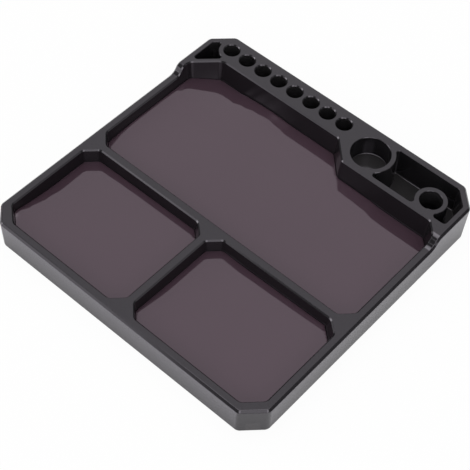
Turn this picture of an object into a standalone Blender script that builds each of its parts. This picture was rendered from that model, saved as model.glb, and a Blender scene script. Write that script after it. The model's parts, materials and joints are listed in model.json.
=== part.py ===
# Parts tray: one moulded body with three floor sheets laid in its compartments.
# Metres, +Z up. X runs along the rear rail, +Y points to the rear.
# The origin is under the middle of the base.
import math

import bmesh
import bpy
from mathutils import Matrix

MM = 0.001

# Body
TRAY_WIDTH = 250.8 * MM
TRAY_DEPTH = 248.4 * MM
RIM_HEIGHT = 26.5 * MM
RAIL_HEIGHT = 33.5 * MM
OUTER_CORNER_CUT = 14.0 * MM
OUTER_CORNER_ROUND = 5.0 * MM
OUTER_DRAFT = 0.8 * MM
EDGE_ROUND = 1.7 * MM
RAMP_LENGTH = 13.0 * MM
RAMP_FROM_REAR = 48.7 * MM

# Compartments
RIM_WIDTH = 7.3 * MM
DIVIDER_WIDTH = 7.0 * MM
FRONT_ROW_DEPTH = 88.7 * MM
SEAT_HEIGHT = 13.2 * MM
WALL_SLOPE = 0.1
DIVIDER_CORNER_CUT = 9.0 * MM
FRONT_CORNER_CUT = 11.5 * MM
RAIL_CORNER_CUT = 18.5 * MM
COMPARTMENT_ROUND = 4.0 * MM

# Floor sheets
SHEET_THICKNESS = 1.8 * MM
SHEET_CLEARANCE = 0.3 * MM

# Rear rail
RAIL_DEPTH = 27.4 * MM
BLOCK_DEPTH = 43.6 * MM
HOLE_COUNT = 8
HOLE_DIAMETER = 12.5 * MM
HOLE_PITCH = 16.0 * MM
HOLE_DEPTH = 20.0 * MM
FIRST_HOLE_FROM_LEFT = 22.2 * MM
HOLE_FROM_REAR = 13.8 * MM
HOLE_SLOPE = 0.02
CUP_DIAMETER = 30.6 * MM
CUP_DEPTH = 17.0 * MM
CUP_FROM_LAST_HOLE = 32.2 * MM
CUP_FROM_REAR = 22.8 * MM
CUP_TO_JOG = 7.1 * MM
CUP_RING = 3.8 * MM
SOCKET_DIAMETER = 17.8 * MM
SOCKET_DEPTH = 19.5 * MM
SOCKET_RING = 3.1 * MM
SOCKET_FROM_RIGHT = 25.5 * MM
SOCKET_FROM_REAR = 28.3 * MM
POCKET_DEPTH = 24.0 * MM
POCKET_SLOPE = 0.04
POCKET_ROUND = 2.2 * MM
POCKET_REAR_WALL = 6.0 * MM
POCKET_SIDE_WALL = 5.4 * MM
POCKET_FRONT_WALL = 4.2 * MM
POCKET_CORNER_CUT = 11.5 * MM
CORNER_POCKET_WALL = 5.4 * MM
CORNER_POCKET_CUT_WALL = 6.0 * MM
CORNER_POCKET_FRONT_WALL = 3.2 * MM
CORNER_POCKET_RING = 4.2 * MM

# Facets
ARC_STEPS = 4
RING_STEPS = 9
RAMP_STEPS = 5
ROUND_SIDES = 32
BEVEL_STEPS = 2
CUT_OVERSHOOT = 5.0 * MM
SHARP_ANGLE = math.radians(40)

# Positions that follow from the sizes
HALF_WIDTH = TRAY_WIDTH / 2
HALF_DEPTH = TRAY_DEPTH / 2
INNER_SIDE = HALF_WIDTH - RIM_WIDTH
INNER_FRONT = RIM_WIDTH - HALF_DEPTH
DIVIDER_FRONT = INNER_FRONT + FRONT_ROW_DEPTH
DIVIDER_REAR = DIVIDER_FRONT + DIVIDER_WIDTH
RAIL_FACE = HALF_DEPTH - RAIL_DEPTH
BLOCK_FACE = HALF_DEPTH - BLOCK_DEPTH
# The main compartment is drawn at the rail's top, where its sloping walls are this much further out.
RAIL_LEAN = (RAIL_HEIGHT - RIM_HEIGHT) * WALL_SLOPE
MAIN_SIDE = INNER_SIDE + RAIL_LEAN
MAIN_FRONT = DIVIDER_REAR - RAIL_LEAN
HOLE_RADIUS = HOLE_DIAMETER / 2
FIRST_HOLE_X = FIRST_HOLE_FROM_LEFT - HALF_WIDTH
HOLE_Y = HALF_DEPTH - HOLE_FROM_REAR
CUP_RADIUS = CUP_DIAMETER / 2
CUP_X = FIRST_HOLE_X + (HOLE_COUNT - 1) * HOLE_PITCH + CUP_FROM_LAST_HOLE
CUP_Y = HALF_DEPTH - CUP_FROM_REAR
SOCKET_RADIUS = SOCKET_DIAMETER / 2
SOCKET_X = HALF_WIDTH - SOCKET_FROM_RIGHT
SOCKET_Y = HALF_DEPTH - SOCKET_FROM_REAR
# The slanted wall beside the cup keeps the same land to it: x + y is constant along that wall.
JOG_SUM = CUP_X + CUP_Y - math.sqrt(2) * (CUP_RADIUS + CUP_TO_JOG)
JOG_REAR_X = JOG_SUM - RAIL_FACE
JOG_FRONT_X = JOG_SUM - BLOCK_FACE
SQRT_HALF = math.sqrt(0.5)


def clear_scene():
    for existing in list(bpy.data.objects):
        bpy.data.objects.remove(existing, do_unlink=True)


def make_material(name, colour, roughness):
    material = bpy.data.materials.new(name)
    material.use_nodes = True
    shader = material.node_tree.nodes["Principled BSDF"]
    shader.inputs["Base Color"].default_value = (*colour, 1.0)
    shader.inputs["Roughness"].default_value = roughness
    shader.inputs["Metallic"].default_value = 0.0
    return material


def make_object(name, mesh_data, material=None):
    bmesh.ops.recalc_face_normals(mesh_data, faces=mesh_data.faces)
    mesh = bpy.data.meshes.new(name)
    mesh_data.to_mesh(mesh)
    mesh_data.free()
    made = bpy.data.objects.new(name, mesh)
    bpy.context.scene.collection.objects.link(made)
    if material is not None:
        mesh.materials.append(material)
    return made


def as_cutter(made):
    made.hide_render = True
    made.display_type = "WIRE"
    return made


def cut(body, cutter):
    boolean = body.modifiers.new(cutter.name, "BOOLEAN")
    boolean.operation = "DIFFERENCE"
    boolean.solver = "EXACT"
    boolean.object = cutter


# Outlines

def line_meeting(point_a, way_a, point_b, way_b):
    cross = way_a[0] * way_b[1] - way_a[1] * way_b[0]
    along = ((point_b[0] - point_a[0]) * way_b[1] - (point_b[1] - point_a[1]) * way_b[0]) / cross
    return (point_a[0] + along * way_a[0], point_a[1] + along * way_a[1])


def arc_points(centre, radius, start, end, steps=ARC_STEPS):
    angles = [start + (end - start) * step / steps for step in range(steps + 1)]
    return [(centre[0] + radius * math.cos(a), centre[1] + radius * math.sin(a)) for a in angles]


def cut_corners(corners):
    """Corners are (x, y, cut), counter-clockwise; a cut above zero becomes a 45 degree chamfer."""
    points = []
    for index, (x, y, size) in enumerate(corners):
        if size == 0.0:
            points.append((x, y))
            continue
        for other in (corners[index - 1], corners[(index + 1) % len(corners)]):
            reach = math.hypot(other[0] - x, other[1] - y)
            points.append((x + size * (other[0] - x) / reach, y + size * (other[1] - y) / reach))
    return points


def rounded_outline(points, radius, inset):
    """Counter-clockwise outline moved inwards by inset, with every corner turned on an arc."""
    count = len(points)
    ways = []
    starts = []
    for index in range(count):
        start = points[index]
        end = points[(index + 1) % count]
        length = math.hypot(end[0] - start[0], end[1] - start[1])
        way = ((end[0] - start[0]) / length, (end[1] - start[1]) / length)
        ways.append(way)
        starts.append((start[0] - way[1] * inset, start[1] + way[0] * inset))
    outline = []
    for index in range(count):
        way_in = ways[index - 1]
        way_out = ways[index]
        corner = line_meeting(starts[index - 1], way_in, starts[index], way_out)
        turn = math.atan2(
            way_in[0] * way_out[1] - way_in[1] * way_out[0],
            way_in[0] * way_out[0] + way_in[1] * way_out[1],
        )
        side = math.copysign(1.0, turn)
        bend = radius - side * inset
        back = bend * math.tan(abs(turn) / 2)
        centre = (
            corner[0] - way_in[0] * back - way_in[1] * bend * side,
            corner[1] - way_in[1] * back + way_in[0] * bend * side,
        )
        start_angle = math.atan2(-side * way_in[0], side * way_in[1])
        outline += arc_points(centre, bend, start_angle, start_angle + turn)
    return outline


def loft(lower, low_height, upper, high_height):
    """Closed solid between two outlines of equal length."""
    mesh_data = bmesh.new()
    edges = []
    for outline, height in ((lower, low_height), (upper, high_height)):
        face = mesh_data.faces.new([mesh_data.verts.new((x, y, height)) for x, y in outline])
        edges += list(face.edges)
    bmesh.ops.bridge_loops(mesh_data, edges=edges)
    return mesh_data


# Body blank: the outer outline with its draft, stepped down in front of the rail

def outer_corners():
    return cut_corners([
        (-HALF_WIDTH, -HALF_DEPTH, OUTER_CORNER_CUT),
        (HALF_WIDTH, -HALF_DEPTH, OUTER_CORNER_CUT),
        (HALF_WIDTH, HALF_DEPTH, OUTER_CORNER_CUT),
        (-HALF_WIDTH, HALF_DEPTH, OUTER_CORNER_CUT),
    ])


def ramp_profile():
    """The side rims drop to the front rim on two equal arcs; points run from front to rear."""
    top_y = HALF_DEPTH - RAMP_FROM_REAR
    bottom_y = top_y - RAMP_LENGTH
    drop = RAIL_HEIGHT - RIM_HEIGHT
    swing = 2 * math.atan2(drop, RAMP_LENGTH)
    radius = RAMP_LENGTH / (2 * math.sin(swing))
    lower = []
    upper = []
    for step in range(RAMP_STEPS + 1):
        angle = swing * step / RAMP_STEPS
        lower.append((bottom_y + radius * math.sin(angle), RIM_HEIGHT + radius * (1 - math.cos(angle))))
        upper.append((top_y - radius * math.sin(angle), RAIL_HEIGHT - radius * (1 - math.cos(angle))))
    return lower + upper[-2::-1]


def front_step_cutter():
    above = RAIL_HEIGHT + CUT_OVERSHOOT
    before = -HALF_DEPTH - CUT_OVERSHOOT
    ramp = ramp_profile()
    profile = [(before, RIM_HEIGHT)] + ramp + [(ramp[-1][0], above), (before, above)]
    reach = HALF_WIDTH + CUT_OVERSHOOT
    mesh_data = bmesh.new()
    face = mesh_data.faces.new([mesh_data.verts.new((-reach, y, z)) for y, z in profile])
    swept = bmesh.ops.extrude_face_region(mesh_data, geom=[face])
    moved = [item for item in swept["geom"] if isinstance(item, bmesh.types.BMVert)]
    bmesh.ops.translate(mesh_data, verts=moved, vec=(2 * reach, 0, 0))
    return as_cutter(make_object("front_step_cutter", mesh_data))


def make_body(material):
    corners = outer_corners()
    base = rounded_outline(corners, OUTER_CORNER_ROUND, OUTER_DRAFT)
    top = rounded_outline(corners, OUTER_CORNER_ROUND, 0.0)
    blank = loft(base, 0.0, top, RAIL_HEIGHT)
    body = make_object("tray_body", blank, material)
    cut(body, front_step_cutter())
    bevel = body.modifiers.new("edge_round", "BEVEL")
    bevel.width = EDGE_ROUND
    bevel.segments = BEVEL_STEPS
    bevel.limit_method = "ANGLE"
    bevel.angle_limit = SHARP_ANGLE
    bevel.use_clamp_overlap = False
    return body


# Compartments: outlines at the height where their walls meet the rim or the rail

def main_compartment():
    return cut_corners([
        (-MAIN_SIDE, MAIN_FRONT, DIVIDER_CORNER_CUT),
        (MAIN_SIDE, MAIN_FRONT, DIVIDER_CORNER_CUT),
        (MAIN_SIDE, BLOCK_FACE, DIVIDER_CORNER_CUT),
        (JOG_FRONT_X, BLOCK_FACE, 0.0),
        (JOG_REAR_X, RAIL_FACE, 0.0),
        (-MAIN_SIDE, RAIL_FACE, RAIL_CORNER_CUT),
    ])


def front_compartment(left, right, left_cut, right_cut):
    return cut_corners([
        (left, INNER_FRONT, left_cut),
        (right, INNER_FRONT, right_cut),
        (right, DIVIDER_FRONT, DIVIDER_CORNER_CUT),
        (left, DIVIDER_FRONT, DIVIDER_CORNER_CUT),
    ])


COMPARTMENTS = {
    "main": (main_compartment(), RAIL_HEIGHT),
    "left": (
        front_compartment(-INNER_SIDE, -DIVIDER_WIDTH / 2, FRONT_CORNER_CUT, DIVIDER_CORNER_CUT),
        RIM_HEIGHT,
    ),
    "right": (
        front_compartment(DIVIDER_WIDTH / 2, INNER_SIDE, DIVIDER_CORNER_CUT, FRONT_CORNER_CUT),
        RIM_HEIGHT,
    ),
}


def compartment_outline(points, rim, height, clearance=0.0):
    return rounded_outline(points, COMPARTMENT_ROUND, (rim - height) * WALL_SLOPE + clearance)


def compartment_cutter(name, points, rim):
    above = RAIL_HEIGHT + CUT_OVERSHOOT
    seat_outline = compartment_outline(points, rim, SEAT_HEIGHT)
    top_outline = compartment_outline(points, rim, above)
    mesh_data = loft(seat_outline, SEAT_HEIGHT, top_outline, above)
    return as_cutter(make_object(name + "_compartment_cutter", mesh_data))


def make_sheet(name, points, rim, material):
    bottom = SEAT_HEIGHT + SHEET_CLEARANCE
    outline = compartment_outline(points, rim, SEAT_HEIGHT, SHEET_CLEARANCE)
    mesh_data = loft(outline, bottom, outline, bottom + SHEET_THICKNESS)
    return make_object(name + "_floor_sheet", mesh_data, material)


# Rear rail: round holes, the pocket round the socket and the corner pocket

def round_cutter(name, x, y, radius, depth):
    below = RAIL_HEIGHT - depth
    height = depth + CUT_OVERSHOOT
    narrowing = HOLE_SLOPE * depth
    widening = HOLE_SLOPE * CUT_OVERSHOOT
    mesh_data = bmesh.new()
    bmesh.ops.create_cone(
        mesh_data,
        cap_ends=True,
        segments=ROUND_SIDES,
        radius1=radius - narrowing,
        radius2=radius + widening,
        depth=height,
        matrix=Matrix.Translation((x, y, below + height / 2)),
    )
    return as_cutter(make_object(name, mesh_data))


def pocket_outline(inset):
    """Counter-clockwise: front edge, round the socket ring, right wall, rear, round the cup ring."""
    bend = POCKET_ROUND - inset
    front = BLOCK_FACE + POCKET_FRONT_WALL + inset
    rear = HALF_DEPTH - POCKET_REAR_WALL - inset
    right = HALF_WIDTH - POCKET_SIDE_WALL - inset
    cup_ring = CUP_RADIUS + CUP_RING + inset
    socket_ring = SOCKET_RADIUS + SOCKET_RING + inset
    low = front + bend

    def beside(x, y, ring, height, side):
        return x + side * math.sqrt((ring + bend) ** 2 - (height - y) ** 2)

    socket_left = beside(SOCKET_X, SOCKET_Y, socket_ring, low, -1)
    socket_right = beside(SOCKET_X, SOCKET_Y, socket_ring, low, 1)
    cup_front = beside(CUP_X, CUP_Y, cup_ring, low, 1)
    cup_rear = beside(CUP_X, CUP_Y, cup_ring, rear - bend, 1)
    left_angle = math.atan2(low - SOCKET_Y, socket_left - SOCKET_X)
    right_angle = math.atan2(low - SOCKET_Y, socket_right - SOCKET_X)
    front_angle = math.atan2(low - CUP_Y, cup_front - CUP_X)
    rear_angle = math.atan2(rear - bend - CUP_Y, cup_rear - CUP_X)
    down = -math.pi / 2
    cut_size = POCKET_CORNER_CUT - inset * (2 - math.sqrt(2))
    outline = arc_points((socket_left, low), bend, down, left_angle + math.pi)
    socket_centre = (SOCKET_X, SOCKET_Y)
    for start, end in ((left_angle + 2 * math.pi, math.pi / 2), (math.pi / 2, right_angle)):
        outline += arc_points(socket_centre, socket_ring, start, end, RING_STEPS)[1:]
    outline += arc_points((socket_right, low), bend, right_angle + math.pi, 3 * math.pi / 2)[1:]
    outline += arc_points((right - bend, low), bend, down, 0.0)
    outline += [(right, rear - cut_size), (right - cut_size, rear)]
    outline += arc_points((cup_rear, rear - bend), bend, math.pi / 2, rear_angle + math.pi)
    outline += arc_points((CUP_X, CUP_Y), cup_ring, rear_angle, front_angle, RING_STEPS)[1:-1]
    outline += arc_points((cup_front, low), bend, front_angle + math.pi, 3 * math.pi / 2)
    return outline


def corner_pocket_outline(inset):
    """Counter-clockwise: front edge along the cut corner, arc round the first hole, rear edge."""
    bend = POCKET_ROUND - inset
    left = CORNER_POCKET_WALL - HALF_WIDTH + inset
    ring = HOLE_RADIUS + CORNER_POCKET_RING + inset
    # y - x is constant along both slanted edges.
    front_rise = RAIL_FACE + MAIN_SIDE - RAIL_CORNER_CUT + (CORNER_POCKET_FRONT_WALL + inset) / SQRT_HALF
    rear_rise = HALF_DEPTH + HALF_WIDTH - OUTER_CORNER_CUT - (CORNER_POCKET_CUT_WALL + inset) / SQRT_HALF
    hole_rise = HOLE_Y - FIRST_HOLE_X

    def beside_ring(rise):
        away = (rise - hole_rise) * SQRT_HALF
        along = -math.sqrt((ring + bend) ** 2 - away ** 2)
        return (
            FIRST_HOLE_X + (along - away) * SQRT_HALF,
            HOLE_Y + (along + away) * SQRT_HALF,
        )

    front_centre = beside_ring(front_rise + bend / SQRT_HALF)
    rear_centre = beside_ring(rear_rise - bend / SQRT_HALF)
    front_angle = math.atan2(front_centre[1] - HOLE_Y, front_centre[0] - FIRST_HOLE_X)
    rear_angle = math.atan2(rear_centre[1] - HOLE_Y, rear_centre[0] - FIRST_HOLE_X)
    if rear_angle > 0:
        rear_angle -= 2 * math.pi
    slant = math.pi / 4
    outline = arc_points(front_centre, bend, slant - math.pi / 2, front_angle + math.pi)
    outline += arc_points((FIRST_HOLE_X, HOLE_Y), ring, front_angle, rear_angle, RING_STEPS)[1:-1]
    outline += arc_points(rear_centre, bend, rear_angle + math.pi, slant + math.pi / 2)
    corner = bend * math.tan(math.pi / 8)
    top = (left + bend, left + rear_rise - corner)
    outline += arc_points(top, bend, slant + math.pi / 2, math.pi)
    low = (left + bend, left + front_rise + bend / math.tan(math.pi / 8))
    outline += arc_points(low, bend, math.pi, slant + 3 * math.pi / 2)
    return outline


def pocket_cutter(name, outline_at):
    below = RAIL_HEIGHT - POCKET_DEPTH
    above = RAIL_HEIGHT + CUT_OVERSHOOT
    floor_outline = outline_at(POCKET_DEPTH * POCKET_SLOPE)
    top_outline = outline_at(-CUT_OVERSHOOT * POCKET_SLOPE)
    return as_cutter(make_object(name, loft(floor_outline, below, top_outline, above)))


def cut_rail(body):
    for number in range(HOLE_COUNT):
        x = FIRST_HOLE_X + number * HOLE_PITCH
        name = "driver_hole_cutter_%d" % (number + 1)
        cut(body, round_cutter(name, x, HOLE_Y, HOLE_RADIUS, HOLE_DEPTH))
    cut(body, round_cutter("cup_cutter", CUP_X, CUP_Y, CUP_RADIUS, CUP_DEPTH))
    cut(body, round_cutter("socket_cutter", SOCKET_X, SOCKET_Y, SOCKET_RADIUS, SOCKET_DEPTH))
    cut(body, pocket_cutter("pocket_cutter", pocket_outline))
    cut(body, pocket_cutter("corner_pocket_cutter", corner_pocket_outline))


def main():
    clear_scene()
    silicone = make_material("black_silicone", (0.012, 0.012, 0.013), 0.42)
    sheet_finish = make_material("brown_sheet", (0.042, 0.023, 0.027), 0.12)
    body = make_body(silicone)
    for name, (points, rim) in COMPARTMENTS.items():
        cut(body, compartment_cutter(name, points, rim))
        make_sheet(name, points, rim, sheet_finish)
    cut_rail(body)


main()
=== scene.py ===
# Parts tray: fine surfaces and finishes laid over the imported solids
import json
import math

import bmesh
import bpy
from mathutils import Matrix, Vector

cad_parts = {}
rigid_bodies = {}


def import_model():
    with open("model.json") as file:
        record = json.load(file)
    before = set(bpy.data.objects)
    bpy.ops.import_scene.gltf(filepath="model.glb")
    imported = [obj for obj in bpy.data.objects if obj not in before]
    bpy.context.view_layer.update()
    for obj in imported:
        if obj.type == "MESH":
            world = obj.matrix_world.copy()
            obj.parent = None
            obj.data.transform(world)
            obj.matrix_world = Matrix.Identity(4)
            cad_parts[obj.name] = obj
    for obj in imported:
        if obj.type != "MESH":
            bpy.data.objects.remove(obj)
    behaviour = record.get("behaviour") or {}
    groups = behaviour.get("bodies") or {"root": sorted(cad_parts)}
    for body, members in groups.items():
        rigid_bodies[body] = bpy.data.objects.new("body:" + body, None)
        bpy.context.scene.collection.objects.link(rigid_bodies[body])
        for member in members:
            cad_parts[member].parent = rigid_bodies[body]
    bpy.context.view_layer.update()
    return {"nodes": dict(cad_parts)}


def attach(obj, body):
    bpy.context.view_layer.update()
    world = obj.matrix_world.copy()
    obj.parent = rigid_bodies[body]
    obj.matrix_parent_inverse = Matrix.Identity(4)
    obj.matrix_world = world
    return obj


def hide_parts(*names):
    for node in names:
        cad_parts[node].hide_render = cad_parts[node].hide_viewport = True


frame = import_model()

mm = 0.001
fullTurn = 2 * math.pi
quarterTurn = math.pi / 2
eighthTurn = math.pi / 4
diagonal = math.sqrt(2)
planeSlack = 1e-7    # points this near a cutting plane lie on it
heightSlack = 1e-6
noiseMiddle = 0.5
plainWhite = (1, 1, 1, 1)
print("frame loaded:", ", ".join(sorted(frame["nodes"])))


# Shader wiring

class Wire:
    # one value socket; sums and products of wires and numbers add Math nodes
    def __init__(self, finish, socket):
        self.finish = finish
        self.socket = socket

    def __add__(self, other):
        return self.finish.maths("ADD", self, other)

    def __radd__(self, other):
        return self.finish.maths("ADD", other, self)

    def __sub__(self, other):
        return self.finish.maths("SUBTRACT", self, other)

    def __rsub__(self, other):
        return self.finish.maths("SUBTRACT", other, self)

    def __mul__(self, other):
        return self.finish.maths("MULTIPLY", self, other)

    def __rmul__(self, other):
        return self.finish.maths("MULTIPLY", other, self)


class Finish:
    # a node tree under construction: a material's, or the world's
    def __init__(self, tree):
        self.tree = tree
        self.tree.nodes.clear()

    def add(self, kind, settings=None, sockets=None, output=0):
        node = self.tree.nodes.new(kind)
        for name, value in (settings or {}).items():
            setattr(node, name, value)
        for name, value in (sockets or {}).items():
            if isinstance(value, Wire):
                self.tree.links.new(value.socket, node.inputs[name])
            else:
                node.inputs[name].default_value = value
        return Wire(self, node.outputs[output]) if len(node.outputs) else node

    def maths(self, operation, first, second=0.0):
        return self.add("ShaderNodeMath", {"operation": operation}, {0: first, 1: second})

    def measured(self, operation, first, second):
        # a vector operation that gives one number
        return self.add("ShaderNodeVectorMath", {"operation": operation}, {0: first, 1: second}, "Value")

    def axes(self, vector, names):
        return [self.add("ShaderNodeSeparateXYZ", {}, {0: vector}, name) for name in names]

    def noise(self, place, scale, detail, roughness):
        return self.add("ShaderNodeTexNoise", {}, {
            "Vector": place, "Scale": scale, "Detail": detail, "Roughness": roughness,
        })

    def fade(self, value, begins, full):
        return self.add("ShaderNodeMapRange", {"interpolation_type": "SMOOTHSTEP"}, {
            "Value": value, "From Min": begins, "From Max": full,
        })

    def blend(self, share, first, second):
        # the numbers are the Mix node's colour sockets, which share their names with others
        return self.add("ShaderNodeMix", {"data_type": "RGBA"}, {0: share, 6: first, 7: second}, 2)


def newFinish(name):
    material = bpy.data.materials.new(name)
    material.use_nodes = True
    return material, Finish(material.node_tree)


# Outlines and hollows

def grown(corners, grow):
    # every side of a counter-clockwise outline moved out by grow
    moved = []
    for index, here in enumerate(corners):
        wayIn = (here - corners[index - 1]).normalized()
        wayOut = (corners[(index + 1) % len(corners)] - here).normalized()
        facing = Vector((wayIn.y + wayOut.y, -wayIn.x - wayOut.x))
        moved.append(here + facing * (grow / (1 + wayIn.dot(wayOut))))
    return moved


def chamfered(corners):
    # (x, y, cut or pair of cuts): each cut corner becomes two points
    points = []
    for index, (x, y, cut) in enumerate(corners):
        here = Vector((x, y))
        if not cut:
            points.append(here)
            continue
        cuts = cut if isinstance(cut, tuple) else (cut, cut)
        for other, back in zip((corners[index - 1], corners[(index + 1) % len(corners)]), cuts):
            points.append(here + (Vector(other[:2]) - here).normalized() * back)
    return points


def roundedFace(bm, corners, bends, grow, height, segments):
    # every corner turns by about an eighth, on its own radius; the inward one tightens as the outline grows
    points = grown(corners, grow)
    verts = [bm.verts.new((point.x, point.y, height)) for point in points]
    bm.faces.new(verts)
    groups = {}
    for index, here in enumerate(points):
        wayIn = here - points[index - 1]
        wayOut = points[(index + 1) % len(points)] - here
        radius = bends[index] + math.copysign(grow, wayIn.cross(wayOut) * grow)
        groups.setdefault(radius, []).append(verts[index])
    for radius, geom in groups.items():
        bmesh.ops.bevel(
            bm, geom=geom, offset=radius * math.tan(eighthTurn / 2), segments=segments, profile=0.5,
            affect="VERTICES", material=-1, clamp_overlap=False,
        )
    bm.faces.ensure_lookup_table()
    return bm.faces[0]


def pull(bm, face, height):
    # extrude a face straight up or down and return its moved copy
    swept = bmesh.ops.extrude_face_region(bm, geom=[face])["geom"]
    bmesh.ops.translate(
        bm, verts=[item for item in swept if isinstance(item, bmesh.types.BMVert)], vec=(0, 0, height)
    )
    return next(item for item in swept if isinstance(item, bmesh.types.BMFace))


def sink(bm, face, inward, down):
    # inset a face that looks down, and push it down
    bmesh.ops.inset_region(
        bm, faces=[face], thickness=inward, depth=down, use_boundary=True, use_even_offset=True
    )


def turned(radius, start, end, steps):
    # the small moves inward and down along an arc that turns from flat towards upright
    angles = [start + (end - start) * step / steps for step in range(steps + 1)]
    return [
        (radius * (math.sin(far) - math.sin(near)), radius * (math.cos(near) - math.cos(far)))
        for near, far in zip(angles, angles[1:])
    ]


def hollow(bm, face, lip, ease, depth, slope, foot, steps):
    # eased chamfer at the lip, sloping wall and rounded foot, one inset after another
    moves = turned(ease, 0, eighthTurn, steps)
    if lip > ease:
        moves.append((lip - ease, lip - ease))
    moves += turned(ease, eighthTurn, quarterTurn, steps)
    wall = depth - lip - foot
    moves.append((slope * wall, wall))
    if foot:
        moves += [(down, inward) for inward, down in turned(foot, 0, quarterTurn, 2 * steps)]
    for inward, down in moves:
        sink(bm, face, inward, down)


def cutAcross(bm, spot, way):
    everything = bm.verts[:] + bm.edges[:] + bm.faces[:]
    bmesh.ops.bisect_plane(bm, geom=everything, dist=planeSlack, plane_co=spot, plane_no=way)


def roundEdges(bm, edges, offset, segments):
    made = bmesh.ops.bevel(
        bm, geom=edges, offset=offset, offset_type="OFFSET", segments=segments, profile=0.5,
        affect="EDGES", material=-1, clamp_overlap=False, loop_slide=False,
    )
    return set(made["faces"])


def newObject(name, bm):
    bmesh.ops.recalc_face_normals(bm, faces=bm.faces)
    mesh = bpy.data.meshes.new(name)
    bm.to_mesh(mesh)
    bm.free()
    made = bpy.data.objects.new(name, mesh)
    bpy.context.scene.collection.objects.link(made)
    return made


# Tray body: a stepped blank with round outer edges, hollowed by cutters that carry the round lips

tray = {
    "width": 250.8 * mm,
    "depth": 248.4 * mm,
    "rimHeight": 26.5 * mm,
    "railHeight": 33.5 * mm,
    "cornerCut": 14 * mm,
    "cutChanges": (-1.2 * mm, 0.6 * mm, 0.95 * mm, 1 * mm),   # from the front left, counter-clockwise
    "cornerRound": 5 * mm,
    "baseInset": 0.8 * mm,
    "topChamfer": 1.65 * mm,
    "topEase": 0.3 * mm,
    "baseRound": 2.3 * mm,
    "rampFromRear": 48.7 * mm,
    "rampLength": 13 * mm,
    "rim": 7.3 * mm,
    "divider": 7 * mm,
    "frontRow": 88.7 * mm,
    "seat": 13.2 * mm,
    "slope": 0.1,
    "frontSlope": 0.06,
    "cornerLean": {"left": 0.18, "right": 0.27},
    "railDepth": 27.4 * mm,
    "blockDepth": 43.6 * mm,
    "dividerCut": 9 * mm,
    # pairs are cuts along the side wall, then along the front or rear wall
    "frontLeftCut": (10.6 * mm, 12.8 * mm),
    "frontRightCut": 12 * mm,
    "leftRearCut": (7.8 * mm, 9 * mm),
    "rightRearCut": (8 * mm, 9.3 * mm),
    "railCut": 18.5 * mm,
    "compartmentRound": 4 * mm,
    "railCutRound": 9 * mm,
    "lip": 1.15 * mm,
    "lipBand": 1.5,   # in lips, how far down the main compartment's lip follows the ramp
    "ease": 0.25 * mm,
    "cornerSegments": 8,
    "easeSteps": 3,
    "rampSteps": 24,
    "overshoot": 5 * mm,
    "sharpAngle": math.radians(35),
    "flatWeight": 50,
    "lipRise": 0.02 * mm,   # lips start a hair above the top, so the cut crosses them cleanly
}
halfWidth = tray["width"] / 2
halfDepth = tray["depth"] / 2
innerSide = halfWidth - tray["rim"]
innerFront = tray["rim"] - halfDepth
dividerFront = innerFront + tray["frontRow"]
railFace = halfDepth - tray["railDepth"]
blockFace = halfDepth - tray["blockDepth"]
drop = tray["railHeight"] - tray["rimHeight"]
lean = drop * tray["slope"]   # the main compartment's walls are this much further out at the rail's height
mainSide = innerSide + lean

rail = {
    "holeCount": 8,
    "holeRadius": 6.05 * mm,
    "holePitch": 16 * mm,
    "holeDepth": 20 * mm,
    "holeFromLeft": 22.2 * mm,
    "holeFromRear": 13.8 * mm,
    "holeLip": 0.9 * mm,
    "cupRadius": 15.1 * mm,
    "cupDepth": 17 * mm,
    "cupFromLastHole": 32.2 * mm,
    "cupFromRear": 22.8 * mm,
    "cupToJog": 7.3 * mm,
    "cupRing": 4.0 * mm,
    "cupLip": 0.4 * mm,
    "socketRadius": 8.5 * mm,
    "socketDepth": 19.5 * mm,
    "socketRing": 3.85 * mm,
    "socketFromRight": 25.5 * mm,
    "socketFromRear": 28.3 * mm,
    "pocketDepth": 24 * mm,
    "pocketSlope": 0.04,
    "pocketRound": 2.2 * mm,
    "pocketLip": 0.5 * mm,
    "cornerLip": 0.5 * mm,
    "lipEase": 0.2 * mm,
    "pocketRearWall": 6 * mm,
    "pocketSideWall": 5.4 * mm,
    "pocketFrontWall": 4.2 * mm,
    "pocketCut": 11.5 * mm,
    "cornerWall": 5.4 * mm,
    "cornerCutWall": 6 * mm,
    "cornerFrontWall": 3.2 * mm,
    "cornerRing": 4.4 * mm,
    "holeSlope": 0.02,
    "foot": 0.8 * mm,
    "sides": 64,
    "arcSteps": 8,
    "ringSteps": 28,
}
holeX = rail["holeFromLeft"] - halfWidth
holeY = halfDepth - rail["holeFromRear"]
hole = Vector((holeX, holeY))
cup = Vector((
    holeX + (rail["holeCount"] - 1) * rail["holePitch"] + rail["cupFromLastHole"],
    halfDepth - rail["cupFromRear"],
))
socket = Vector((halfWidth - rail["socketFromRight"], halfDepth - rail["socketFromRear"]))
jogSum = cup.x + cup.y - diagonal * (rail["cupRadius"] + rail["cupToJog"])   # x + y along the slanted wall

outerCorners = chamfered([
    (side * halfWidth, end * halfDepth, tray["cornerCut"] + change)
    for (side, end), change in zip(((-1, -1), (1, -1), (1, 1), (-1, 1)), tray["cutChanges"])
])
mainCorners = chamfered([
    (-mainSide, dividerFront + tray["divider"] - lean, tray["dividerCut"]),
    (mainSide, dividerFront + tray["divider"] - lean, tray["dividerCut"]),
    (mainSide, blockFace, tray["dividerCut"]),
    (jogSum - blockFace, blockFace, 0),
    (jogSum - railFace, railFace, 0),
    (-mainSide, railFace, tray["railCut"]),
])


def frontCorners(left, right, leftCut, rightCut, rearCut):
    return chamfered([
        (left, innerFront, leftCut), (right, innerFront, rightCut),
        (right, dividerFront, rearCut), (left, dividerFront, tray["dividerCut"]),
    ])


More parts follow.
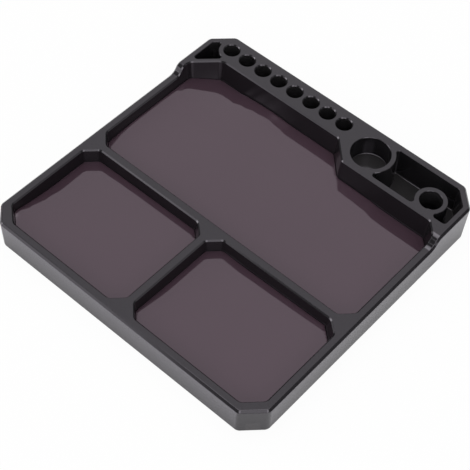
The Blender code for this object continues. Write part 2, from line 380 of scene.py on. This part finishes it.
leftCorners = frontCorners(
    -innerSide, -tray["divider"] / 2, tray["frontLeftCut"], tray["dividerCut"], tray["leftRearCut"]
)
rightCorners = frontCorners(
    tray["divider"] / 2, innerSide, tray["dividerCut"], tray["frontRightCut"], tray["rightRearCut"]
)
plainBends = [tray["compartmentRound"]] * len(leftCorners)
mainBends = plainBends + [tray["railCutRound"]] * 2   # wide at the ends of the cut beside the holes

compartments = {
    "main": (mainCorners, mainBends, tray["railHeight"], tray["slope"]),
    "left": (leftCorners, plainBends, tray["rimHeight"], tray["frontSlope"]),
    "right": (rightCorners, plainBends, tray["rimHeight"], tray["frontSlope"]),
}

rampTop = halfDepth - tray["rampFromRear"]
rampBottom = rampTop - tray["rampLength"]
rampSwing = 2 * math.atan2(drop, tray["rampLength"])
rampRadius = tray["rampLength"] / (2 * math.sin(rampSwing))
rampCuts = [
    rampBottom + tray["rampLength"] * step / tray["rampSteps"] for step in range(tray["rampSteps"] + 1)
]
railCap = tray["railHeight"] + tray["lipRise"] + tray["overshoot"]
rightAngleSpread = 2 - diagonal   # a corner cut grows by this share of its outline's growth


def fallAt(y):
    # how far the top lies below the rail: two equal arcs make the ramp
    if y >= rampTop:
        return 0.0
    if y <= rampBottom:
        return drop
    along = min(y - rampBottom, rampTop - y)
    bend = rampRadius - math.sqrt(rampRadius ** 2 - along ** 2)
    return bend if rampTop - y < y - rampBottom else drop - bend


def cutAlongRamp(bm):
    for y in rampCuts:
        cutAcross(bm, (0, y, 0), (0, 1, 0))


def makeBlank():
    bm = bmesh.new()
    bends = [tray["cornerRound"]] * len(outerCorners)
    base = roundedFace(bm, outerCorners, bends, 0, 0, tray["cornerSegments"])
    foot = base.verts[:]
    pull(bm, base, tray["railHeight"])
    shrink = [1 - tray["baseInset"] / half for half in (halfWidth, halfDepth)]
    bmesh.ops.scale(bm, verts=foot, vec=(*shrink, 1))
    cutAlongRamp(bm)
    for vert in bm.verts:
        if vert.co.z > tray["rimHeight"]:
            fall = fallAt(vert.co.y)
            draft = tray["baseInset"] * fall / tray["railHeight"]
            vert.co.x *= 1 - draft / halfWidth
            vert.co.y *= 1 - draft / halfDepth
            vert.co.z -= fall
    bmesh.ops.recalc_face_normals(bm, faces=bm.faces)
    roundEdges(bm, sharpEdges(bm, 0, eighthTurn, tray["seat"]), tray["baseRound"], 2 * tray["easeSteps"])
    chamfer = roundEdges(bm, sharpEdges(bm, tray["seat"], eighthTurn, 1), tray["topChamfer"], 1)
    eased = [edge for edge in bm.edges if sum(face in chamfer for face in edge.link_faces) == 1]
    roundEdges(bm, eased, tray["topEase"], tray["easeSteps"])
    return newObject("trayBody", bm)


def sharpEdges(bm, low, angle, high):
    return [
        edge for edge in bm.edges
        if edge.calc_face_angle(0) > angle and all(low <= vert.co.z <= high for vert in edge.verts)
    ]


def compartmentCutter(name):
    corners, bends, top, slope = compartments[name]
    bm = bmesh.new()
    start = top + tray["lipRise"]
    cap = roundedFace(bm, corners, bends, tray["lip"], start + tray["overshoot"], tray["cornerSegments"])
    face = pull(bm, cap, -tray["overshoot"])
    bmesh.ops.recalc_face_normals(bm, faces=bm.faces)
    hollow(bm, face, tray["lip"], tray["ease"], start - tray["seat"], slope, 0, tray["easeSteps"])
    if name == "main":
        lowerMainLip(bm, start)
    else:
        leanCorner(bm, name, 0)
    return newObject(name + "Cutter", bm)


def leanCorner(bm, name, gap):
    # the rear right cut of a front compartment leans back from its lip to its foot
    corners, _, top, _ = compartments[name]
    right, rear = corners[4:6]   # the two points of that cut
    outward = -(rear - right).orthogonal().normalized()
    spot = (right - outward * gap).to_3d()
    spot.z = top + tray["lipRise"] - tray["lip"]
    way = outward.to_3d()
    way.z = -tray["cornerLean"][name]
    below = [face for face in bm.faces if max(vert.co.z for vert in face.verts) < spot.z + heightSlack]
    around = dict.fromkeys(edge for face in below for edge in face.edges)
    ends = dict.fromkeys(vert for face in below for vert in face.verts)
    bmesh.ops.bisect_plane(
        bm, geom=[*below, *around, *ends], dist=planeSlack, plane_co=spot, plane_no=way, clear_outer=True
    )
    bmesh.ops.holes_fill(bm, edges=[edge for edge in bm.edges if edge.is_boundary], sides=0)
    bmesh.ops.recalc_face_normals(bm, faces=bm.faces)


def lowerMainLip(bm, start):
    # the lip follows the ramp down to the front rim, where the walls stand further in
    cutAlongRamp(bm)
    for vert in bm.verts:
        if abs(start - vert.co.z) > tray["lipBand"] * tray["lip"]:
            continue
        share = fallAt(vert.co.y) / drop
        vert.co.z -= share * drop
        vert.co.x *= 1 - share * lean / mainSide
        if vert.co.y < 0:
            vert.co.y += share * lean


def railCutter(name, bm, cap, lip, depth, slope):
    # from a cap above the rail down through the lip to the foot
    face = pull(bm, cap, -tray["overshoot"])
    bmesh.ops.recalc_face_normals(bm, faces=bm.faces)
    hollow(bm, face, lip, rail["lipEase"], depth, slope, rail["foot"], tray["easeSteps"])
    return newObject(name, bm)


def roundCutter(name, centre, radius, depth, lip):
    bm = bmesh.new()
    bmesh.ops.create_circle(
        bm, cap_ends=True, radius=radius + lip, segments=rail["sides"],
        matrix=Matrix.Translation((centre.x, centre.y, railCap)),
    )
    return railCutter(name, bm, next(iter(bm.faces)), lip, depth, rail["holeSlope"])


def arc(centre, radius, start, end, steps):
    turns = [start + (end - start) * step / steps for step in range(steps + 1)]
    return [centre + radius * Vector((math.cos(turn), math.sin(turn))) for turn in turns]


def angleTo(centre, point):
    return math.atan2(point.y - centre.y, point.x - centre.x)


def pocketPoints(grow):
    # front edge, round the socket's ring, up the right wall, along the rear, back round the cup's ring
    bend = rail["pocketRound"] + grow
    front = blockFace + rail["pocketFrontWall"] - grow
    rear = halfDepth - rail["pocketRearWall"] + grow
    right = halfWidth - rail["pocketSideWall"] + grow
    cupRing = rail["cupRadius"] + rail["cupRing"] - grow
    socketRing = rail["socketRadius"] + rail["socketRing"] - grow

    def beside(centre, ring, y, side):
        return Vector((centre.x + side * math.sqrt((ring + bend) ** 2 - (y - centre.y) ** 2), y))

    socketLeft = beside(socket, socketRing, front + bend, -1)
    socketRight = beside(socket, socketRing, front + bend, 1)
    cupFront = beside(cup, cupRing, front + bend, 1)
    cupRear = beside(cup, cupRing, rear - bend, 1)
    leftTurn = angleTo(socket, socketLeft) + fullTurn
    rightTurn = angleTo(socket, socketRight)
    frontTurn = angleTo(cup, cupFront)
    rearTurn = angleTo(cup, cupRear)
    few, many = rail["arcSteps"], rail["ringSteps"]
    cut = rail["pocketCut"] + grow * rightAngleSpread
    points = arc(socketLeft, bend, -quarterTurn, leftTurn - math.pi, few)
    points += arc(socket, socketRing, leftTurn, rightTurn, many)[1:-1]
    points += arc(socketRight, bend, rightTurn + math.pi, 3 * quarterTurn, few)
    points += arc(Vector((right - bend, front + bend)), bend, -quarterTurn, 0, few)
    for corner, begin in ((Vector((right, rear - cut)), 0), (Vector((right - cut, rear)), eighthTurn)):
        back = bend * math.tan(eighthTurn / 2)
        wayIn = Vector((math.cos(begin + quarterTurn), math.sin(begin + quarterTurn)))
        centre = corner - wayIn * back - bend * Vector((math.cos(begin), math.sin(begin)))
        points += arc(centre, bend, begin, begin + eighthTurn, few)
    points += arc(cupRear, bend, quarterTurn, rearTurn + math.pi, few)
    points += arc(cup, cupRing, rearTurn, frontTurn, many)[1:-1]
    points += arc(cupFront, bend, frontTurn + math.pi, 3 * quarterTurn, few)
    return points


def cornerPocketPoints(grow):
    # the slanted front edge, the arc round the first hole, the slanted rear edge, the left wall
    bend = rail["pocketRound"] + grow
    left = rail["cornerWall"] - halfWidth - grow
    ring = rail["holeRadius"] + rail["cornerRing"] - grow
    frontRise = railFace + mainSide - tray["railCut"] + (rail["cornerFrontWall"] - grow) * diagonal
    rearRise = halfDepth + halfWidth - tray["cornerCut"] - (rail["cornerCutWall"] - grow) * diagonal

    def besideRing(rise):
        away = (rise - (hole.y - hole.x)) / diagonal
        along = -math.sqrt((ring + bend) ** 2 - away ** 2)
        return hole + Vector((along - away, along + away)) / diagonal

    front = besideRing(frontRise + bend * diagonal)
    rear = besideRing(rearRise - bend * diagonal)
    frontTurn = angleTo(hole, front) % fullTurn
    rearTurn = angleTo(hole, rear) % fullTurn
    few, many = rail["arcSteps"], rail["ringSteps"]
    points = arc(front, bend, -eighthTurn, frontTurn - math.pi, few)
    points += arc(hole, ring, frontTurn, rearTurn, many)[1:-1]
    points += arc(rear, bend, rearTurn - math.pi, 3 * eighthTurn, few)
    middle = left + bend
    narrow = math.tan(eighthTurn / 2)
    points += arc(Vector((middle, left + rearRise - bend * narrow)), bend, 3 * eighthTurn, math.pi, few)
    points += arc(Vector((middle, left + frontRise + bend / narrow)), bend, math.pi, 7 * eighthTurn, few)
    return points


def pocketCutter(name, points, lip):
    bm = bmesh.new()
    cap = bm.faces.new([bm.verts.new((point.x, point.y, railCap)) for point in points])
    return railCutter(name, bm, cap, lip, rail["pocketDepth"], rail["pocketSlope"])


def makeBody():
    body = makeBlank()
    cutters = [compartmentCutter(name) for name in compartments]
    rounds = [
        ("holeCutter%d" % number, hole + Vector((number * rail["holePitch"], 0)), "hole", rail["holeLip"])
        for number in range(rail["holeCount"])
    ]
    rounds += [("cupCutter", cup, "cup", rail["cupLip"]), ("socketCutter", socket, "socket", rail["cupLip"])]
    for name, centre, kind, lip in rounds:
        cutters.append(roundCutter(name, centre, rail[kind + "Radius"], rail[kind + "Depth"], lip))
    for name, outline, lip in (
        ("pocketCutter", pocketPoints, rail["pocketLip"]),
        ("cornerPocketCutter", cornerPocketPoints, rail["cornerLip"]),
    ):
        cutters.append(pocketCutter(name, outline(lip), lip))
    for cutter in cutters:
        boolean = body.modifiers.new(cutter.name, "BOOLEAN")
        boolean.operation = "DIFFERENCE"
        boolean.solver = "EXACT"
        boolean.object = cutter
    evaluated = body.evaluated_get(bpy.context.evaluated_depsgraph_get())
    carved = bpy.data.meshes.new_from_object(evaluated)
    body.modifiers.clear()
    body.data = carved
    for cutter in cutters:
        bpy.data.objects.remove(cutter, do_unlink=True)
    carved.shade_smooth()
    carved.set_sharp_from_angle(angle=tray["sharpAngle"])
    weighted = body.modifiers.new("flatTops", "WEIGHTED_NORMAL")
    weighted.keep_sharp = True
    weighted.weight = tray["flatWeight"]
    print("body:", len(carved.polygons), "faces")
    return body


# Floor sheets: thin glossy inlays that fill the compartments' feet and curl a little along the walls

sheets = {
    "thickness": 1.8 * mm,
    "under": 0.3 * mm,
    "gap": 0.05 * mm,
    "edgeRound": 0.2 * mm,
    "edgeSegments": 2,
    "mesh": 2 * mm,
    "sharpAngle": math.radians(50),
    # walls as (axis, place, inward sign, reach), each with (place along the wall, rise per length at the wall);
    # places and reaches in mm
    "curls": {
        "main": (
            (0, -117, 1, 400, ((0, 0.00075), (1, 0.00075))),
            (0, -117, 1, 8, ((-22, 0.03), (20, 0.26), (44, 0.26), (64, 0.01))),
            (0, -117, 1, 22, ((44, 0), (64, 0.1), (90, 0.1))),
            (1, 95, -1, 12, (
                (-95, -0.135), (-80, -0.11), (-70, -0.01), (-59, 0.06),
                (-47, 0.095), (-36, 0.055), (-27, 0.01), (20, 0.01),
            )),
            (1, 78.7, -1, 12, (
                (12, 0), (24, 0.025), (38, 0.025), (46, 0.01),
                (60, -0.02), (72, -0.115), (84, -0.135), (110, -0.13),
            )),
        ),
        "left": (
            (0, -117, 1, 400, ((0, 0.001), (1, 0.001))),
            (0, -117, 1, 12, (
                (-104, 0.2), (-92, 0.08), (-86, 0.032), (-80, -0.018), (-64, -0.085), (-40, -0.06),
            )),
            (1, -29.4, -1, 12, ((-108, -0.055), (-100, -0.05), (-84, -0.03), (-60, -0.016), (-10, -0.006))),
        ),
        "right": (
            (0, 4.7, 1, 400, ((0, 0.00175), (1, 0.00175))),
            (0, 4.7, 1, 4, (
                (-106, 0.14), (-98, 0.085), (-92, 0.042), (-86, -0.008), (-78, -0.052), (-40, -0.048),
            )),
            (1, -29.4, -1, 12, (
                (14, -0.035), (30, -0.063), (54, -0.04), (74, -0.018), (88, -0.002), (104, 0.022),
            )),
        ),
    },
}


def between(points, place):
    # smooth run through (place, value) pairs, level beyond the ends
    if place <= points[0][0]:
        return points[0][1]
    for (near, low), (far, high) in zip(points, points[1:]):
        if place <= far:
            share = (place - near) / (far - near)
            return low + (high - low) * share * share * (3 - 2 * share)
    return points[-1][1]


def curlSheet(bm, name, level, slope):
    across = [[vert.co[axis] for vert in bm.verts] for axis in (0, 1)]
    for axis, (low, high) in enumerate([(min(places), max(places)) for places in across]):
        count = math.ceil((high - low) / sheets["mesh"])
        for step in range(1, count):
            spot, way = Vector(), Vector()
            spot[axis], way[axis] = low + (high - low) * step / count, 1
            cutAcross(bm, spot, way)
    for vert in bm.verts:
        if vert.co.z < level:
            continue
        for axis, wall, sign, reach, tilts in sheets["curls"][name]:
            away = max(0, (vert.co[axis] - wall * mm) * sign) / (reach * mm)
            rise = between(tilts, vert.co[1 - axis] / mm) * reach * mm * math.exp(-away)
            vert.co.z += rise
            vert.co[axis] -= sign * slope * rise


def makeSheet(name):
    corners, bends, top, slope = compartments[name]
    bm = bmesh.new()
    low = tray["seat"] + sheets["under"]
    high = low + sheets["thickness"]
    inset = (top - high) * slope + sheets["gap"]
    face = roundedFace(bm, corners, bends, -inset, high, tray["cornerSegments"])
    lower = pull(bm, face, -sheets["thickness"])
    bmesh.ops.recalc_face_normals(bm, faces=bm.faces)
    sink(bm, lower, sheets["thickness"] * slope, 0)
    if name != "main":
        leanCorner(bm, name, sheets["gap"])
    upper = max(bm.faces, key=lambda face: face.calc_center_median().z)
    roundEdges(bm, upper.edges[:], sheets["edgeRound"], sheets["edgeSegments"])
    curlSheet(bm, name, low + sheets["thickness"] / 2, slope)
    sheet = newObject(name + "Sheet", bm)
    sheet.data.shade_smooth()
    sheet.data.set_sharp_from_angle(angle=sheets["sharpAngle"])
    print("sheet:", name, "top at %.1f mm" % (high / mm))
    return sheet


# Finishes

silicone = {
    "colour": (0.0, 0.0, 0.0, 1),
    "paleColour": (0.017, 0.016, 0.018, 1),
    "cloudShare": 0.4,
    "grainShare": 0.6,
    "paintedReflectionColour": (0.086, 0.0795, 0.0955, 1),    # painted reflection of the bright floor on the outer walls, with painted shade darkening it towards the foot
    "paintedReflectionDepth": 0.3 * mm,
    "paintedReflectionLeast": 0.1,
    "paintedReflectionGain": 1.6,
    "paintedHollowLightColour": (0.034, 0.032, 0.033, 1),    # painted light lifting the hollows of the rail, which would otherwise render black
    "hollowLightBelow": 11 * mm,
    "hollowLightInset": 4 * mm,
    "hollowLightSpread": 1.8 * mm,
    "hollowLightLeast": 0.5,
    "hollowLightCloud": 0.5,
    "holeLightShare": 0.45,
    "socketLightShare": 0.5,
    "tint": (1.01, 0.94, 1.05, 1),
    "ior": 1.6,
    "roughness": 0.12,
    "roughnessSwing": 0.05,
    "grainScale": 1000,
    "grainDetail": 2.0,
    "grainHeight": 0.03 * mm,
    "grainStrength": 0.3,
    "cloudScale": 22,
    "cloudDetail": 5.0,
    "noiseRoughness": 0.6,
}


# where painted light lifts the rail's hollows, which would otherwise render black
def hollowLightParts(finish, place, nearest, height):
    # the pocket's floor lies low, the holes in a row left of the cup;
    # the cup's floor and the socket are spheres
    def less(value, limit):
        return finish.maths("LESS_THAN", value, limit)

    def around(centre, low, reach):
        return less(finish.measured("DISTANCE", place, Vector((centre.x, centre.y, low))), reach)

    x, y = finish.axes(place, "XY")
    fromRow = finish.maths("ABSOLUTE", y - holeY)
    row = less(fromRow, rail["holeRadius"] + rail["holeLip"]) * less(x, cup.x - 2 * rail["cupRadius"])
    holes = silicone["holeLightShare"] * (row * less(height, tray["railHeight"] - rail["holeLip"]))
    well = less(nearest, -silicone["hollowLightInset"]) * (holes + less(height, silicone["hollowLightBelow"]))
    cupFloor = around(cup, tray["railHeight"] - rail["cupDepth"], rail["cupRadius"] - rail["foot"])
    bore = around(socket, tray["rimHeight"], rail["socketRadius"] + silicone["hollowLightSpread"])
    return well + cupFloor + silicone["socketLightShare"] * bore


def makeSilicone():
    material, finish = newFinish("blackSilicone")
    place = finish.add("ShaderNodeTexCoord", output="Object")
    grain, cloud = [
        finish.noise(place, silicone[kind + "Scale"], silicone[kind + "Detail"], silicone["noiseRoughness"])
        for kind in ("grain", "cloud")
    ]
    share = cloud * silicone["cloudShare"] + grain * silicone["grainShare"]
    plain = finish.blend(share, silicone["colour"], silicone["paleColour"])
    # how near a point lies to the drafted planes of the four outer walls
    spread = finish.add("ShaderNodeVectorMath", {"operation": "ABSOLUTE"}, {0: place})
    x, y, z = finish.axes(spread, "XYZ")
    reach = z * (tray["baseInset"] / tray["railHeight"]) - tray["baseInset"]
    nearest = finish.maths("MAXIMUM", x - reach - halfWidth, y - reach - halfDepth)
    # painted reflection on the outer walls, and a painted shade ramp that darkens it towards the foot
    paintedReflectionMask = finish.fade(nearest, -silicone["paintedReflectionDepth"], 0.0)
    paintedShadeRamp = silicone["paintedReflectionLeast"] + z * (silicone["paintedReflectionGain"] / tray["rimHeight"])
    # painted light in the rail's hollows, patchy with the cloud noise
    hollowLight = hollowLightParts(finish, place, nearest, z) * (silicone["hollowLightLeast"] + cloud * silicone["hollowLightCloud"])
    hollows = finish.blend(hollowLight, plain, silicone["paintedHollowLightColour"])
    # painted reflection of the bright floor on the outer walls, faded by painted shade towards the foot
    colour = finish.blend(paintedReflectionMask * grain * paintedShadeRamp, hollows, silicone["paintedReflectionColour"])
    roughness = silicone["roughness"]
    for noise in (cloud, grain):
        roughness = roughness + (noise - noiseMiddle) * silicone["roughnessSwing"]
    bump = finish.add("ShaderNodeBump", {}, {
        "Strength": silicone["grainStrength"], "Distance": silicone["grainHeight"], "Height": grain,
    })
    shader = finish.add("ShaderNodeBsdfPrincipled", {}, {
        "Base Color": colour, "Roughness": roughness, "Normal": bump, "IOR": silicone["ior"],
        "Specular Tint": silicone["tint"],
    })
    finish.add("ShaderNodeOutputMaterial", {}, {"Surface": shader})
    return material


gloss = {
    "colour": (0.047, 0.028, 0.038, 1),
    "paleColour": (0.058, 0.035, 0.048, 1),
    "tint": (1.0, 0.88, 0.98, 1),
    "ior": 1.67,
    "roughness": 0.06,
    "roughnessSwing": 0.04,
    "flakeScale": 1900,
    "flakeDetail": 1.0,
    "flakeRoughness": 0.5,
    "flakeShare": 0.5,
    "cloudScale": 14,
    "cloudDetail": 4.0,
    "cloudRoughness": 0.55,
    "cloudShare": 0.5,
}


def makeGloss():
    material, finish = newFinish("brownSheet")
    place = finish.add("ShaderNodeTexCoord", output="Object")
    cloud, flake = [
        finish.noise(place, gloss[kind + "Scale"], gloss[kind + "Detail"], gloss[kind + "Roughness"])
        for kind in ("cloud", "flake")
    ]
    share = cloud * gloss["cloudShare"] + flake * gloss["flakeShare"]
    colour = finish.blend(share, gloss["colour"], gloss["paleColour"])
    roughness = gloss["roughness"] + (cloud - noiseMiddle) * gloss["roughnessSwing"]
    shader = finish.add("ShaderNodeBsdfPrincipled", {}, {
        "Base Color": colour, "Roughness": roughness, "IOR": gloss["ior"], "Specular Tint": gloss["tint"],
    })
    finish.add("ShaderNodeOutputMaterial", {}, {"Surface": shader})
    return material


siliconeFinish = makeSilicone()
glossFinish = makeGloss()

trayBody = makeBody()
trayBody.data.materials.clear()
trayBody.data.materials.append(siliconeFinish)
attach(trayBody, "root")
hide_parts("tray_body")
for name in compartments:
    sheet = makeSheet(name)
    sheet.data.materials.append(glossFinish)
    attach(sheet, "root")
    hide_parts(name + "_floor_sheet")
print("pieces made")


# Stage: pale floor, soft overhead light, the photo's camera

stage = {
    "floorSize": 6.0,
    "floorColour": (0.9, 0.9, 0.9, 1),
    "eyeWhite": 0.95,      # share of the plain white that the camera sees; the rest keeps the shadow
    "mirrorWhite": 0.18,   # the same in reflections
    "dim": 0.17,
    # soft lights in the dome: direction, cosines where each begins and is full, strength
    "glows": (
        ((-0.36, 0.42, 0.83), 0.80, 0.95, 0.75),   # rear left, mirrored by rims and sheets
        ((0.69, -0.57, 0.45), 0.84, 0.96, 1.4),   # camera side
        ((0.36, -0.75, 0.555), 0.97, 0.99, 1.8),   # front
        ((0.77, -0.31, 0.56), 0.97, 0.99, 1.75),   # right
        ((-0.72, -0.66, 0.20), 0.875, 0.935, 1.3),   # low left, and its core
        ((-0.77, -0.55, 0.33), 0.97, 0.99, 2.5),
        ((-0.43, -0.745, 0.51), 0.9936, 0.9986, 0.85),   # two small ones towards the front left
        ((-0.295, -0.755, 0.585), 0.9949, 0.999, 0.95),
        ((0.79, 0.43, 0.44), 0.985, 0.996, 0.4),   # low rear right
        ((-0.04, -0.02, 1.0), 0.88, 0.96, 2.5),   # overhead
    ),
}


def makeFloor():
    bm = bmesh.new()
    bmesh.ops.create_grid(bm, x_segments=1, y_segments=1, size=stage["floorSize"])
    floor = newObject("paleFloor", bm)
    material, finish = newFinish("paleFloorPaint")
    camera, glossy, through = [
        finish.add("ShaderNodeLightPath", output="Is %s Ray" % kind)
        for kind in ("Camera", "Glossy", "Transmission")
    ]
    mirrored = finish.maths("MINIMUM", glossy + through, 1.0)
    white = finish.add("ShaderNodeEmission", {}, {"Color": plainWhite, "Strength": 1.0})
    paint = finish.add("ShaderNodeBsdfDiffuse", {}, {"Color": stage["floorColour"]})
    mixed = finish.add("ShaderNodeMixShader", {}, {
        0: camera * stage["eyeWhite"] + mirrored * stage["mirrorWhite"], 1: paint, 2: white,
    })
    finish.add("ShaderNodeOutputMaterial", {}, {"Surface": mixed})
    floor.data.materials.append(material)


def makeSky():
    world = bpy.data.worlds.new("softDome")
    bpy.context.scene.world = world
    world.use_nodes = True
    finish = Finish(world.node_tree)
    way = finish.add("ShaderNodeTexCoord", output="Generated")
    glow = stage["dim"]
    for direction, begins, full, gain in stage["glows"]:
        near = finish.measured("DOT_PRODUCT", way, Vector(direction).normalized())
        glow = glow + gain * finish.fade(near, begins, full)
    camera = finish.add("ShaderNodeLightPath", output="Is Camera Ray")
    strength = glow * (1 - camera) + camera
    shader = finish.add("ShaderNodeBackground", {}, {"Color": plainWhite, "Strength": strength})
    finish.add("ShaderNodeOutputWorld", {}, {"Surface": shader})


view = {
    "lookAt": Vector((9.525, -12.174, 14.978)) * mm,
    "azimuth": math.radians(38.831),
    "elevation": math.radians(52.617),
    "roll": math.radians(3.424),
    "distance": 929.33 * mm,
    "lens": 100.0,
    "sensor": 36.0,
    "clipStart": 0.01,
    "clipEnd": 20,
}


def makeCamera():
    data = bpy.data.cameras.new("camera")
    data.sensor_width = view["sensor"]
    data.lens = view["lens"]
    data.clip_start = view["clipStart"]
    data.clip_end = view["clipEnd"]
    camera = bpy.data.objects.new("camera", data)
    bpy.context.scene.collection.objects.link(camera)
    level = math.cos(view["elevation"])
    back = Vector((
        math.sin(view["azimuth"]) * level, -math.cos(view["azimuth"]) * level, math.sin(view["elevation"])
    ))
    camera.location = view["lookAt"] + back * view["distance"]
    camera.rotation_mode = "QUATERNION"
    camera.rotation_quaternion = (-back).to_track_quat("-Z", "Y") @ Matrix.Rotation(
        view["roll"], 3, "Z").to_quaternion()
    bpy.context.scene.camera = camera


makeFloor()
makeSky()
makeCamera()
bpy.context.scene.view_settings.view_transform = "Standard"

print("stage set")
